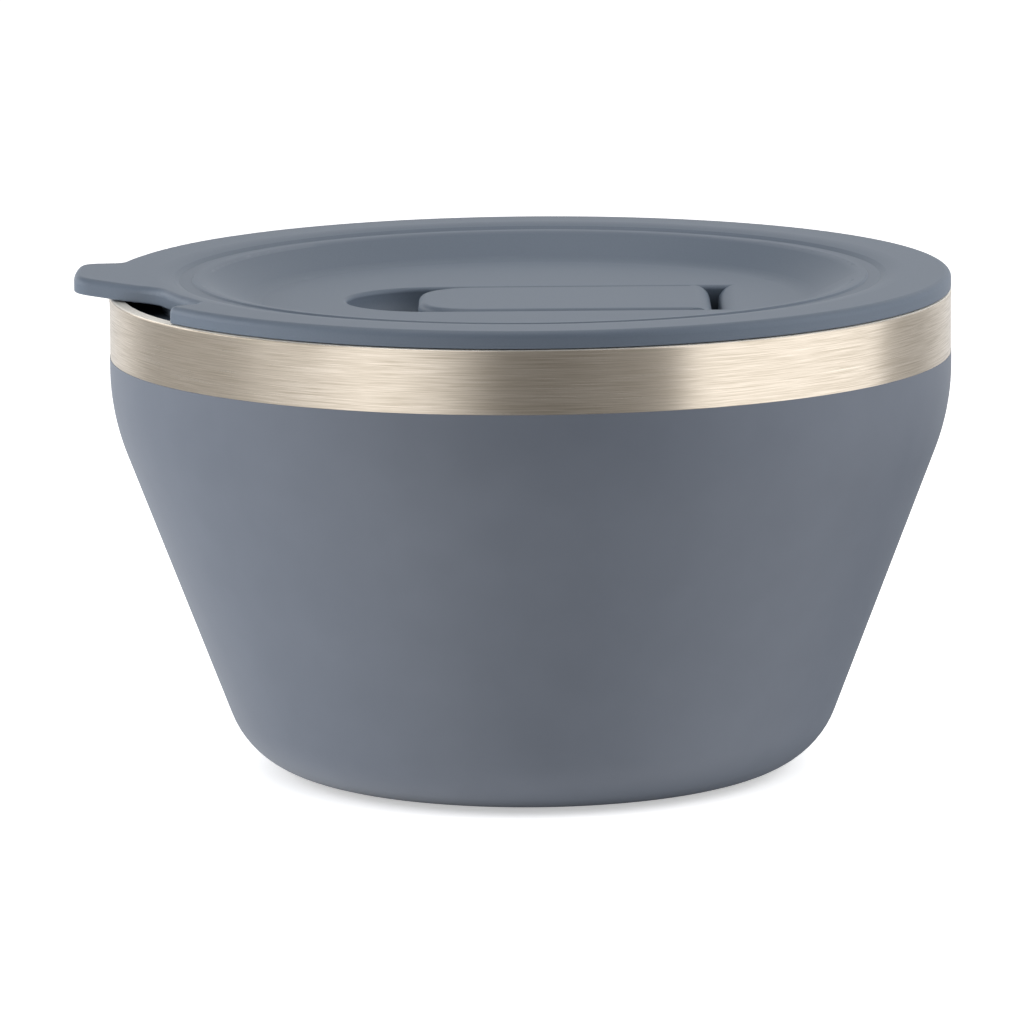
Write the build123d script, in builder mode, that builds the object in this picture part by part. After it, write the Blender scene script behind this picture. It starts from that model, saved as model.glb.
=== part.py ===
"""Insulated stainless bowl with a lift-off lid and a flip-up vent flap.

Millimetres, +Z up. The origin is the centre of the base, on the surface the bowl stands on.
The lid's pull tab points along -X and the flap's hinge lies towards +X.
"""

import math
import os
from dataclasses import dataclass

from build123d import *

os.makedirs("parts", exist_ok=True)

# Bowl, outer form
rim_radius = 75.0
bowl_height = 86.0
collar_height = 13.3
shoulder_radius = 42.0
flank_angle = 20.8
base_fillet = 16.0

# Bowl, walls
shell_wall = 0.6
liner_wall = 0.5
lip_width = 2.5
lip_height = 1.0
lip_round = 0.5
vacuum_gap = 3.0
liner_shoulder_radius = 30.0
liner_base_fillet = 18.0
inside_floor = 10.0

# Base
foot_width = 3.3
base_plate_wall = 0.6
base_recess = 1.6
base_cover_lift = 0.2
vacuum_bottom_lift = 4.6
base_corner = 1.2
weld_clearance = 0.05

# Vacuum space
foil_thickness = 0.15
foil_clearance = 0.1
foil_margin = 2.0
port_radius = 1.0
bead_radius = 2.6
bead_height = 1.4
getter_radius = 4.0
getter_height = 2.0
getter_offset = 15.0
clip_width = 3.0
clip_thickness = 0.3
clip_foot = 3.0
clip_clearance = 0.2

# Lid, flange and dish
lid_inset = 0.05
lid_seat_gap = 0.15
flange_thickness = 2.95
flange_top_fillet = 1.2
flange_bottom_fillet = 0.3
groove_margin = 11.5
rim_fall = 0.45
rim_fall_width = 3.35
groove_width = 3.55
groove_depth = 0.5
groove_outer_slope = 1.0
groove_inner_slope = 0.3
dish_edge_rise = 0.3
dish_edge_width = 1.7
dish_slope_width = 8.7
dish_depth = 5.0
dish_top_fillet = 4.0
dish_floor_fillet = 7.0
lid_wall = 1.6

# Lid, plug and gasket channel
plug_gap = 6.8
plug_wall = 1.8
plug_depth = 9.15
channel_gap = 2.5
channel_depth = 2.8
channel_flange = 1.2
channel_height = 4.2
channel_edge_fillet = 0.4
gasket_clearance = 0.05
gasket_reach_gap = 0.3
gasket_stand_out = 0.4
fin_root = 0.9
fin_tip = 0.45
fin_rise = 0.3
fin_spacing = 2.0

# Lid, pull tab and the notch on one side of it
notch_depth = 6.85
notch_angle = 32.7
notch_corner = 1.8
notch_root_round = 11.0
tab_reach = 6.2
tab_rise_angle = 3.9
tab_bend_inset = 5.2
tab_bend_radius = 40.0
tab_tip_half_width = 9.1
tab_flare_angle = 31.0
tab_tip_corner = 5.5
tab_side_round = 5.0

# Lid, pocket for the flap
pocket_half_width = 15.0
pocket_scoop_end = 32.7
pocket_hinge_end = 33.8
pocket_wall = 1.8
pocket_floor = 1.5
pocket_edge_fillet = 0.8
pocket_under_fillet = 1.2
scoop_floor_fillet = 5.2
hinge_bay = 12.0
hinge_end_round = 3.2

# Vent flap and hinge
flap_side_gap = 0.4
finger_room = 12.8
flap_thickness = 2.4
flap_proud = 0.15
flap_tip_corner = 10.0
flap_edge_fillet = 1.3
flap_under_fillet = 1.0
hinge_end_gap = 1.4
barrel_radius = 3.0
barrel_floor_gap = 0.4
barrel_end_chamfer = 0.5
pin_radius = 1.0
pin_running_clearance = 0.05
pin_seat_clearance = 0.02
pin_chamfer = 0.2

# Vent
vent_reach = 35.4
vent_radius = 4.0
vent_clearance = 0.3
boss_radius = 2.5
boss_length = 2.4
plug_fit_clearance = 0.05
plug_flange_radius = 5.4
plug_flange_height = 0.8
plug_taper = 0.5
plug_insert = 0.95

# Radii and places that follow from the sizes above
mouth_radius = rim_radius - lip_width
lid_radius = rim_radius - lid_inset
groove_outer_radius = lid_radius - groove_margin
groove_inner_radius = groove_outer_radius - groove_width
rim_fall_radius = groove_outer_radius + rim_fall_width
dish_top_radius = groove_inner_radius - dish_edge_width
dish_floor_radius = dish_top_radius - dish_slope_width
plug_radius = mouth_radius - plug_gap
plug_inner_radius = plug_radius - plug_wall
channel_flange_radius = mouth_radius - channel_gap
channel_floor_radius = channel_flange_radius - channel_depth
gasket_body_radius = channel_flange_radius + gasket_stand_out
fin_tip_radius = mouth_radius - gasket_reach_gap
notch_radius = lid_radius - notch_depth
tab_bend_line = lid_radius - tab_bend_inset
tab_tip_radius = lid_radius + tab_reach
scoop_centre = pocket_half_width - pocket_scoop_end
flap_tip = finger_room - pocket_scoop_end
flap_half_width = pocket_half_width - flap_side_gap
hinge_centre = pocket_hinge_end - hinge_end_gap - barrel_radius
vent_centre = hinge_centre - vent_reach

# Heights that follow from the sizes above
slope = math.radians(flank_angle)
flank_direction = (-math.sin(slope), -math.cos(slope))
seam_z = bowl_height - lip_height
flange_bottom_z = bowl_height + lid_seat_gap
flange_top_z = flange_bottom_z + flange_thickness
dish_floor_z = flange_top_z - dish_depth
dish_under_z = dish_floor_z - lid_wall
plug_bottom_z = flange_bottom_z - plug_depth
flap_top_z = dish_floor_z + flap_proud
hinge_z = flap_top_z - barrel_radius
pocket_floor_z = hinge_z - barrel_radius - barrel_floor_gap
pocket_bottom_z = pocket_floor_z - pocket_floor
flap_under_z = flap_top_z - flap_thickness


@dataclass
class WallLine:
    """The corners of one face of a drawn wall, as (radius, height) from collar to floor."""

    collar_end: tuple
    flank_top: tuple
    flank_foot: tuple
    floor_start: tuple


def wall_line(radius, collar_z, bend_radius, foot_radius, floor_z):
    """Work out a wall face from its collar radius, its two bends and its floor height."""
    flank_top = (radius - bend_radius * (1 - math.cos(slope)), collar_z - bend_radius * math.sin(slope))
    foot_z = floor_z + foot_radius * (1 - math.sin(slope))
    foot_r = flank_top[0] - (flank_top[1] - foot_z) * math.tan(slope)
    floor_start = (foot_r - foot_radius * math.cos(slope), floor_z)
    return WallLine((radius, collar_z), flank_top, (foot_r, foot_z), floor_start)


def draw_wall(top, wall):
    """Draw a wall face from its top corner down to where its floor starts."""
    Line(top, wall.collar_end)
    TangentArc(wall.collar_end, wall.flank_top, tangent=(0, -1))
    Line(wall.flank_top, wall.flank_foot)
    TangentArc(wall.flank_foot, wall.floor_start, tangent=flank_direction)


def inset(point, distance):
    """Move a point on the flank inwards, square to the flank."""
    return (point[0] - distance * math.cos(slope), point[1] + distance * math.sin(slope))


# Wall faces of the shell and the liner
shell_collar_z = bowl_height - collar_height
shell_out = wall_line(rim_radius, shell_collar_z, shoulder_radius, base_fillet, 0)
shell_in = wall_line(
    rim_radius - shell_wall,
    shell_collar_z,
    shoulder_radius - shell_wall,
    base_fillet - shell_wall,
    shell_wall,
)
liner_out_radius = mouth_radius + liner_wall
liner_flank = inset(shell_out.flank_top, shell_wall + vacuum_gap)
liner_bend_in = liner_shoulder_radius * (1 - math.cos(slope))
liner_collar_z = (
    liner_flank[1]
    + liner_shoulder_radius * math.sin(slope)
    + (liner_out_radius - liner_bend_in - liner_flank[0]) / math.tan(slope)
)
liner_out = wall_line(
    liner_out_radius,
    liner_collar_z,
    liner_shoulder_radius,
    liner_base_fillet,
    inside_floor - liner_wall,
)
liner_in = wall_line(
    mouth_radius,
    liner_collar_z,
    liner_shoulder_radius - liner_wall,
    liner_base_fillet - liner_wall,
    inside_floor,
)
base_opening = shell_out.floor_start[0] - foot_width

# Outer shell: one drawn wall, turned in at the bottom to a flat foot ring
with BuildPart() as outer_shell:
    with BuildSketch(Plane.XZ):
        with BuildLine():
            draw_wall((rim_radius, seam_z), shell_out)
            Polyline(
                shell_out.floor_start,
                (base_opening, 0),
                (base_opening, shell_wall),
                shell_in.floor_start,
            )
            draw_wall((rim_radius - shell_wall, seam_z), shell_in)
            Line((rim_radius - shell_wall, seam_z), (rim_radius, seam_z))
        make_face()
    revolve(axis=Axis.Z)

# Inner liner: the food bowl, with a flat lip that meets the shell at the seam
with BuildPart() as inner_liner:
    with BuildSketch(Plane.XZ):
        with BuildLine():
            FilletPolyline(
                (rim_radius, seam_z),
                (rim_radius, bowl_height),
                (mouth_radius, bowl_height),
                (mouth_radius, seam_z),
                radius=lip_round,
            )
            draw_wall((mouth_radius, seam_z), liner_in)
            Polyline(
                liner_in.floor_start,
                (0, inside_floor),
                (0, inside_floor - liner_wall),
                liner_out.floor_start,
            )
            draw_wall((liner_out_radius, seam_z), liner_out)
            Line((liner_out_radius, seam_z), (rim_radius, seam_z))
        make_face()
    revolve(axis=Axis.Z)

# Copper foil: a cone wrapped round the liner's flank
foil_start = foil_margin / math.cos(slope)
foil_top_z = liner_out.flank_top[1] - foil_start
foil_foot_z = liner_out.flank_foot[1] + foil_start
foil_inner = foil_clearance / math.cos(slope)
foil_outer = foil_inner + foil_thickness / math.cos(slope)


def flank_radius(z):
    """Radius of the liner's outer flank at a height."""
    return liner_out.flank_top[0] - (liner_out.flank_top[1] - z) * math.tan(slope)


with BuildPart() as copper_foil:
    with BuildSketch(Plane.XZ):
        with BuildLine():
            Polyline(
                (flank_radius(foil_top_z) + foil_inner, foil_top_z),
                (flank_radius(foil_top_z) + foil_outer, foil_top_z),
                (flank_radius(foil_foot_z) + foil_outer, foil_foot_z),
                (flank_radius(foil_foot_z) + foil_inner, foil_foot_z),
                close=True,
            )
        make_face()
    revolve(axis=Axis.Z)


def draw_pan(radius, low_z, plate_z):
    """Draw an upside-down pan in section: a round plate with a rim that turns down."""
    top_z = plate_z + base_plate_wall
    FilletPolyline((0, top_z), (radius, top_z), (radius, low_z), radius=base_corner)
    Polyline(
        (radius, low_z),
        (radius - base_plate_wall, low_z),
        (radius - base_plate_wall, plate_z),
        (0, plate_z),
        (0, top_z),
    )


# Vacuum bottom: closes the vacuum space, with the pump-out port in its middle
vacuum_bottom_radius = base_opening - weld_clearance
vacuum_top_z = vacuum_bottom_lift + base_plate_wall
with BuildPart() as vacuum_bottom:
    with BuildSketch(Plane.XZ):
        with BuildLine():
            draw_pan(vacuum_bottom_radius, base_cover_lift, vacuum_bottom_lift)
        make_face()
    revolve(axis=Axis.Z)
    with BuildSketch(Plane.XY.offset(vacuum_bottom_lift)):
        Circle(port_radius)
    extrude(amount=base_plate_wall, mode=Mode.SUBTRACT)

# Seal bead: a cap under the port with a stem in it
bead_stem = port_radius - weld_clearance
with BuildPart() as seal_bead:
    with BuildSketch(Plane.XZ):
        with BuildLine():
            Polyline(
                (0, vacuum_bottom_lift - bead_height),
                (0, vacuum_top_z),
                (bead_stem, vacuum_top_z),
                (bead_stem, vacuum_bottom_lift),
                (bead_radius, vacuum_bottom_lift),
            )
            TangentArc(
                (0, vacuum_bottom_lift - bead_height), (bead_radius, vacuum_bottom_lift), tangent=(1, 0)
            )
        make_face()
    revolve(axis=Axis.Z)

# Getter: a pellet on the vacuum bottom and the strap over it
with BuildPart() as getter_pellet:
    with BuildSketch(Plane.XY.offset(vacuum_top_z)):
        with Locations((getter_offset, 0)):
            Circle(getter_radius)
    extrude(amount=getter_height)

clip_inner = getter_radius + clip_clearance
clip_outer = clip_inner + clip_thickness
clip_top_z = vacuum_top_z + getter_height
with BuildPart() as getter_clip:
    with BuildSketch(Plane.XZ):
        with BuildLine():
            Polyline(
                (getter_offset - clip_outer - clip_foot, vacuum_top_z),
                (getter_offset - clip_inner, vacuum_top_z),
                (getter_offset - clip_inner, clip_top_z),
                (getter_offset + clip_inner, clip_top_z),
                (getter_offset + clip_inner, vacuum_top_z),
                (getter_offset + clip_outer + clip_foot, vacuum_top_z),
                (getter_offset + clip_outer + clip_foot, vacuum_top_z + clip_thickness),
                (getter_offset + clip_outer, vacuum_top_z + clip_thickness),
                (getter_offset + clip_outer, clip_top_z + clip_thickness),
                (getter_offset - clip_outer, clip_top_z + clip_thickness),
                (getter_offset - clip_outer, vacuum_top_z + clip_thickness),
                (getter_offset - clip_outer - clip_foot, vacuum_top_z + clip_thickness),
                close=True,
            )
        make_face()
    extrude(amount=clip_width / 2, both=True)

# Base cover: the pressed cover that shows under the base
base_cover_radius = vacuum_bottom_radius - base_plate_wall - weld_clearance
with BuildPart() as base_cover:
    with BuildSketch(Plane.XZ):
        with BuildLine():
            draw_pan(base_cover_radius, base_cover_lift, base_recess)
        make_face()
    revolve(axis=Axis.Z)

# Lid edge in plan: a disc with a flared pull tab, cut back on one side of the tab
tab_flare = math.tan(math.radians(tab_flare_angle))
tab_root_half_width = tab_tip_half_width + (tab_tip_radius - plug_inner_radius) * tab_flare
with BuildSketch() as tab_plan:
    Circle(tab_tip_radius)
    with BuildLine():
        Polyline(
            (-plug_inner_radius, tab_root_half_width),
            (-tab_tip_radius, tab_tip_half_width),
            (-tab_tip_radius, -tab_tip_half_width),
            (-plug_inner_radius, -tab_root_half_width),
            close=True,
        )
    make_face(mode=Mode.INTERSECT)

with BuildSketch() as lid_plan:
    Circle(lid_radius)
    with BuildLine():
        notch_inner = CenterArc((0, 0), notch_radius, 180, notch_angle)
        notch_outer = CenterArc((0, 0), tab_tip_radius, 180, notch_angle)
        Line(notch_inner @ 0, notch_outer @ 0)
        Line(notch_inner @ 1, notch_outer @ 1)
    make_face(mode=Mode.SUBTRACT)
    add(tab_plan.sketch)
    fillet(lid_plan.vertices().sort_by(Axis.X)[4:6], notch_corner)
    fillet(lid_plan.vertices().sort_by(Axis.X)[3], notch_root_round)
    fillet(lid_plan.vertices().sort_by(Axis.X)[2], tab_side_round)
    fillet(lid_plan.vertices().sort_by(Axis.X)[:2], tab_tip_corner)

# Lid flange: the plan cut from a plate that bends up towards the tab's tip, with its edge rounded
bend_end = tab_tip_radius + flange_thickness
bend_rise = (bend_end - tab_bend_line) * math.tan(math.radians(tab_rise_angle))
flange_middle_z = flange_bottom_z + flange_thickness / 2


def draw_bend(z):
    """Draw one face of the bent plate from the far side of the disc to past the tab's tip."""
    FilletPolyline(
        (lid_radius, z), (-tab_bend_line, z), (-bend_end, z + bend_rise), radius=tab_bend_radius
    )


with BuildPart() as flange:
    with BuildSketch(Plane.XY.offset(flange_bottom_z)):
        add(lid_plan.sketch)
    extrude(amount=flange_thickness + bend_rise)
    with BuildSketch(Plane.XZ):
        with BuildLine():
            draw_bend(flange_top_z)
            draw_bend(flange_bottom_z)
            Line((lid_radius, flange_bottom_z), (lid_radius, flange_top_z))
            Line((-bend_end, flange_bottom_z + bend_rise), (-bend_end, flange_top_z + bend_rise))
        make_face()
    extrude(amount=lid_radius, both=True, mode=Mode.INTERSECT)
    outline = flange.edges().filter_by(Axis.Z, reverse=True).filter_by(Axis.Y, reverse=True)
    fillet(outline.filter_by(lambda edge: edge.center().Z > flange_middle_z), flange_top_fillet)
    outline = flange.edges().filter_by(Axis.Z, reverse=True).filter_by(Axis.Y, reverse=True)
    fillet(outline.filter_by(lambda edge: edge.center().Z < flange_middle_z), flange_bottom_fillet)

# Lid body: flange and tab, dish and plug ring, then the pocket sunk into the dish floor
pocket_length = pocket_hinge_end - scoop_centre
groove_edge_z = flange_top_z - rim_fall
groove_floor_z = groove_edge_z - groove_depth
dish_edge_z = groove_floor_z + dish_edge_rise
dish_pitch = math.atan2(dish_edge_z - dish_floor_z, dish_slope_width)
dish_shift = lid_wall / math.sin(dish_pitch)


def dish_under_radius(z):
    """Radius of the dish's lower face at a height, one wall below its upper face."""
    return dish_floor_radius + dish_shift + (z - dish_floor_z) / math.tan(dish_pitch)


channel_top_z = plug_bottom_z + 2 * channel_flange + channel_height
with BuildPart() as lid_body:
    add(flange.part)
    with BuildSketch(Plane.XZ) as section:
        with BuildLine():
            Polyline(
                (0, flange_top_z),
                (plug_radius, flange_top_z),
                (plug_radius, channel_top_z),
                (channel_flange_radius, channel_top_z),
                (channel_flange_radius, channel_top_z - channel_flange),
                (channel_floor_radius, channel_top_z - channel_flange),
                (channel_floor_radius, plug_bottom_z + channel_flange),
                (channel_flange_radius, plug_bottom_z + channel_flange),
                (channel_flange_radius, plug_bottom_z),
                (plug_inner_radius, plug_bottom_z),
                (plug_inner_radius, flange_bottom_z),
                (dish_under_radius(flange_bottom_z), flange_bottom_z),
                (dish_under_radius(dish_under_z), dish_under_z),
                (0, dish_under_z),
                close=True,
            )
        make_face()
        fillet(section.vertices().group_by(Axis.Y)[0], channel_edge_fillet)
    revolve(axis=Axis.Z)
    with BuildSketch(Plane.XZ):
        with BuildLine():
            FilletPolyline(
                (0, dish_floor_z),
                (dish_floor_radius, dish_floor_z),
                (dish_top_radius, dish_edge_z),
                (groove_inner_radius, dish_edge_z),
                radius=[dish_floor_fillet, dish_top_fillet],
            )
            Polyline(
                (groove_inner_radius, dish_edge_z),
                (groove_inner_radius + groove_inner_slope, groove_floor_z),
                (groove_outer_radius - groove_outer_slope, groove_floor_z),
                (groove_outer_radius, groove_edge_z),
            )
            TangentArc(
                (rim_fall_radius, flange_top_z), (groove_outer_radius, groove_edge_z), tangent=(-1, 0)
            )
            Polyline((rim_fall_radius, flange_top_z), (0, flange_top_z), (0, dish_floor_z))
        make_face()
    revolve(axis=Axis.Z, mode=Mode.SUBTRACT)
    with BuildSketch(Plane.XY.offset(pocket_bottom_z)):
        with Locations((scoop_centre, 0)):
            Circle(pocket_half_width + pocket_wall)
            Rectangle(
                pocket_length + pocket_wall,
                2 * (pocket_half_width + pocket_wall),
                align=(Align.MIN, Align.CENTER),
            )
    extrude(amount=dish_floor_z - lid_wall / 2 - pocket_bottom_z)
    fillet(lid_body.edges().group_by(Axis.Z)[0], pocket_under_fillet)
    with BuildSketch(Plane.XY.offset(pocket_floor_z)):
        with Locations((pocket_hinge_end, 0)):
            Rectangle(hinge_bay, 2 * pocket_half_width, align=(Align.MAX, Align.CENTER))
    extrude(amount=flange_top_z - pocket_floor_z, mode=Mode.SUBTRACT)
    with BuildSketch(Plane.YZ.offset(scoop_centre)) as trough:
        with Locations((0, pocket_floor_z)):
            Rectangle(
                2 * pocket_half_width, flange_top_z - pocket_floor_z, align=(Align.CENTER, Align.MIN)
            )
        fillet(trough.vertices().group_by(Axis.Y)[0], scoop_floor_fillet)
    extrude(amount=pocket_length - hinge_bay, mode=Mode.SUBTRACT)
    with BuildSketch(Plane.XZ):
        with BuildLine():
            FilletPolyline(
                (scoop_centre, pocket_floor_z),
                (-pocket_scoop_end, pocket_floor_z),
                (-pocket_scoop_end, flange_top_z),
                radius=scoop_floor_fillet,
            )
            Polyline(
                (-pocket_scoop_end, flange_top_z),
                (scoop_centre, flange_top_z),
                (scoop_centre, pocket_floor_z),
            )
        make_face()
    revolve(axis=Axis((scoop_centre, 0, 0), (0, 0, 1)), mode=Mode.SUBTRACT)
    with BuildSketch(Plane.XZ):
        with BuildLine():
            TangentArc(
                (pocket_hinge_end, dish_floor_z - hinge_end_round),
                (pocket_hinge_end + hinge_end_round, dish_floor_z),
                tangent=(0, 1),
            )
            Polyline(
                (pocket_hinge_end + hinge_end_round, dish_floor_z),
                (pocket_hinge_end, dish_floor_z),
                (pocket_hinge_end, dish_floor_z - hinge_end_round),
            )
        make_face()
    extrude(amount=pocket_half_width, both=True, mode=Mode.SUBTRACT)
    floor_edges = lid_body.edges().filter_by_position(Axis.Z, dish_floor_z, dish_floor_z)
    scoop_edges = floor_edges.filter_by(GeomType.CIRCLE).group_by(SortBy.RADIUS)[0]
    fillet([*scoop_edges, *floor_edges.filter_by(Axis.X)], pocket_edge_fillet)
    with BuildSketch(Plane.XZ):
        with Locations((hinge_centre, hinge_z)):
            Circle(pin_radius + pin_seat_clearance)
    extrude(amount=pocket_half_width + pocket_wall, both=True, mode=Mode.SUBTRACT)
    with BuildSketch(Plane.XY.offset(pocket_floor_z)):
        with Locations((vent_centre, 0)):
            Circle(vent_radius)
    extrude(amount=-pocket_floor, mode=Mode.SUBTRACT)

# Lid gasket: a ring in the plug's channel with two fins that reach the liner
gasket_low_z = plug_bottom_z + channel_flange + gasket_clearance
gasket_high_z = gasket_low_z + channel_height - 2 * gasket_clearance
gasket_middle_z = (gasket_low_z + gasket_high_z) / 2


def fin_corners(z):
    """Corners of one fin in section, from its root's lower edge to its root's upper edge."""
    tip_z = z + fin_rise
    return [
        (gasket_body_radius, z - fin_root / 2),
        (fin_tip_radius, tip_z - fin_tip / 2),
        (fin_tip_radius, tip_z + fin_tip / 2),
        (gasket_body_radius, z + fin_root / 2),
    ]


with BuildPart() as lid_gasket:
    with BuildSketch(Plane.XZ):
        with BuildLine():
            Polyline(
                (channel_floor_radius + gasket_clearance, gasket_low_z),
                (gasket_body_radius, gasket_low_z),
                *fin_corners(gasket_middle_z - fin_spacing / 2),
                *fin_corners(gasket_middle_z + fin_spacing / 2),
                (gasket_body_radius, gasket_high_z),
                (channel_floor_radius + gasket_clearance, gasket_high_z),
                close=True,
            )
        make_face()
    revolve(axis=Axis.Z)

# Vent flap: a plate with rounded edges, a hinge barrel and a boss for the stopper
flap_length = hinge_centre - flap_tip
with BuildPart() as flap_plate:
    with BuildSketch(Plane.XY.offset(flap_under_z)) as plan:
        with Locations((flap_tip, 0)):
            Rectangle(flap_length, 2 * flap_half_width, align=(Align.MIN, Align.CENTER))
        fillet(plan.vertices().group_by(Axis.X)[0], flap_tip_corner)
    extrude(amount=flap_thickness)
    fillet(flap_plate.edges().group_by(Axis.Z)[-1].sort_by(Axis.X)[:-1], flap_edge_fillet)
    fillet(flap_plate.edges().group_by(Axis.Z)[0].sort_by(Axis.X)[:-1], flap_under_fillet)

with BuildPart() as hinge_barrel:
    with BuildSketch(Plane.XZ):
        with Locations((hinge_centre, hinge_z)):
            Circle(barrel_radius)
    extrude(amount=flap_half_width, both=True)
    chamfer(hinge_barrel.edges().filter_by(GeomType.CIRCLE), barrel_end_chamfer)

with BuildPart() as vent_flap:
    add(flap_plate.part)
    add(hinge_barrel.part)
    with BuildSketch(Plane.XY.offset(flap_under_z)):
        with Locations((vent_centre, 0)):
            Circle(boss_radius)
    extrude(amount=-boss_length)
    with BuildSketch(Plane.XZ):
        with Locations((hinge_centre, hinge_z)):
            Circle(pin_radius + pin_running_clearance)
    extrude(amount=flap_half_width, both=True, mode=Mode.SUBTRACT)

# Flap pin: through the barrel, held in the pocket's side walls
with BuildPart() as flap_pin:
    with BuildSketch(Plane.XZ):
        with Locations((hinge_centre, hinge_z)):
            Circle(pin_radius)
    extrude(amount=pocket_half_width + pocket_wall, both=True)
    chamfer(flap_pin.edges().filter_by(GeomType.CIRCLE), pin_chamfer)

# Vent plug: a stopper on the flap's boss, tapered where it enters the vent
stopper_radius = vent_radius - vent_clearance
stopper_low_z = pocket_floor_z - plug_insert
stopper_seat_z = pocket_floor_z + vent_clearance
boss_end_z = flap_under_z - boss_length
vent_plane = Plane(origin=(vent_centre, 0, 0), x_dir=(1, 0, 0), z_dir=(0, -1, 0))
with BuildPart() as vent_plug:
    with BuildSketch(vent_plane):
        with BuildLine():
            Polyline(
                (0, stopper_low_z),
                (stopper_radius - plug_taper, stopper_low_z),
                (stopper_radius, stopper_seat_z),
                (plug_flange_radius, stopper_seat_z),
                (plug_flange_radius, stopper_seat_z + plug_flange_height),
                (stopper_radius, stopper_seat_z + plug_flange_height),
                (stopper_radius, flap_under_z),
                (boss_radius + plug_fit_clearance, flap_under_z),
                (boss_radius + plug_fit_clearance, boss_end_z),
                (0, boss_end_z),
                close=True,
            )
        make_face()
    revolve(axis=Axis((vent_centre, 0, 0), (0, 0, 1)))

pieces = {
    "outer_shell": outer_shell,
    "inner_liner": inner_liner,
    "copper_foil": copper_foil,
    "vacuum_bottom": vacuum_bottom,
    "seal_bead": seal_bead,
    "getter_pellet": getter_pellet,
    "getter_clip": getter_clip,
    "base_cover": base_cover,
    "lid_body": lid_body,
    "lid_gasket": lid_gasket,
    "vent_flap": vent_flap,
    "flap_pin": flap_pin,
    "vent_plug": vent_plug,
}
for name, piece in pieces.items():
    piece.part.label = name
    export_step(piece.part, f"parts/{name}.step")
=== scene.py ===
"""Looks for an insulated steel bowl with a lift-off lid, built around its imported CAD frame.

The scene is in metres and in the CAD model's frame: +Z is up, the lid's pull tab points along -X and
the camera looks along +Y. Sizes held in dataclass fields are in millimetres unless they say metres.
"""

import logging
import math
from abc import ABC, abstractmethod
from dataclasses import dataclass, field
from enum import Enum
from typing import Any, Sequence

import bpy
from mathutils import Matrix, Vector


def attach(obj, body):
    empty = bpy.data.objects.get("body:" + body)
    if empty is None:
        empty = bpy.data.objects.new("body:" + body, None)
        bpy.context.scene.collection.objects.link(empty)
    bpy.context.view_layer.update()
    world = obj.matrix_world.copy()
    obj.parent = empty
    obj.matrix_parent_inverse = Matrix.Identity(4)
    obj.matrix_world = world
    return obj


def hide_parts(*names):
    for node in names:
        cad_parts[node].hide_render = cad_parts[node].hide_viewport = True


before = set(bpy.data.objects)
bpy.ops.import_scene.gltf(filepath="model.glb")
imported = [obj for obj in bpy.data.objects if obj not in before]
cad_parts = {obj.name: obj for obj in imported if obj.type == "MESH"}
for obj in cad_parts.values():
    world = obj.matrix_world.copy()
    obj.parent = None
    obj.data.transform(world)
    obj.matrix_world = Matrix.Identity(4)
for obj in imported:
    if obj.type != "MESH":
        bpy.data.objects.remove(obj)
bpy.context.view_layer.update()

LOG = logging.getLogger("bowl")
MM = 0.001
TURN_SEGMENTS = 288
SMOOTH_ANGLE = math.radians(35.0)
WELD_DISTANCE = 0.000002
NOISE_MIDDLE = 0.5
LEVEL_ONLY = (1.0, 1.0, 0.0)
WHITE = (1.0, 1.0, 1.0, 1.0)

Point = tuple[float, float]


class Body(Enum):
    """The rigid bodies of the CAD frame."""

    BOWL = "bowl"
    LID = "lid"
    FLAP = "flap"


class Slot(Enum):
    """The record's material slots."""

    POWDER_COAT = "powder_coat"
    STEEL = "steel"
    COPPER = "copper"
    SOLDER_GLASS = "solder_glass"
    GETTER = "getter"
    LID_PLASTIC = "lid_plastic"
    SILICONE = "silicone"


def linear_colour(code: str) -> tuple[float, float, float, float]:
    """Turn an sRGB hex colour into linear values, by the standard's own curve.

    Args:
        code: The colour as six hex digits after a hash.

    Returns:
        Red, green, blue and alpha, linear.
    """
    channels = [int(code[i : i + 2], 16) / 255 for i in (1, 3, 5)]
    linear = [c / 12.92 if c <= 0.04045 else ((c + 0.055) / 1.055) ** 2.4 for c in channels]
    return (linear[0], linear[1], linear[2], 1.0)


def per_mm(size: float) -> float:
    """Pattern scale, in repeats per metre, for a feature of this size in millimetres."""
    return 1.0 / (size * MM)


def add_node(
    tree: bpy.types.NodeTree, kind: str, inputs: dict[Any, Any], **options: Any
) -> bpy.types.Node:
    """Add a shader node, set its options, and fill or link its inputs.

    Args:
        tree: The node tree that gets the node.
        kind: The node's type name.
        inputs: Input name or number to a value, or to the output socket that feeds it.
        options: The node's own settings.

    Returns:
        The new node.
    """
    made = tree.nodes.new(kind)
    for name, value in options.items():
        setattr(made, name, value)
    for key, value in inputs.items():
        if isinstance(value, bpy.types.NodeSocket):
            tree.links.new(value, made.inputs[key])
        else:
            made.inputs[key].default_value = value
    return made


@dataclass(frozen=True)
class Finish(ABC):
    """A surface finish, which makes its own material."""

    name: str
    slot: Slot

    @abstractmethod
    def shade(self, tree: bpy.types.NodeTree, surface: bpy.types.Node) -> None:
        """Set the surface shader up and link the patterns that feed it."""

    def material(self) -> bpy.types.Material:
        """Make the material, or return it if it is made already.

        Returns:
            The finish as a node material.
        """
        found = bpy.data.materials.get(self.name)
        if found is not None:
            return found
        made = bpy.data.materials.new(self.name)
        made.use_nodes = True
        surface = made.node_tree.nodes["Principled BSDF"]
        self.shade(made.node_tree, surface)
        return made

    def dress(self, piece: bpy.types.Object) -> None:
        """Give a piece this finish alone.

        Args:
            piece: The piece, a CAD node or a new one.
        """
        piece.data.materials.clear()
        piece.data.materials.append(self.material())


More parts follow.
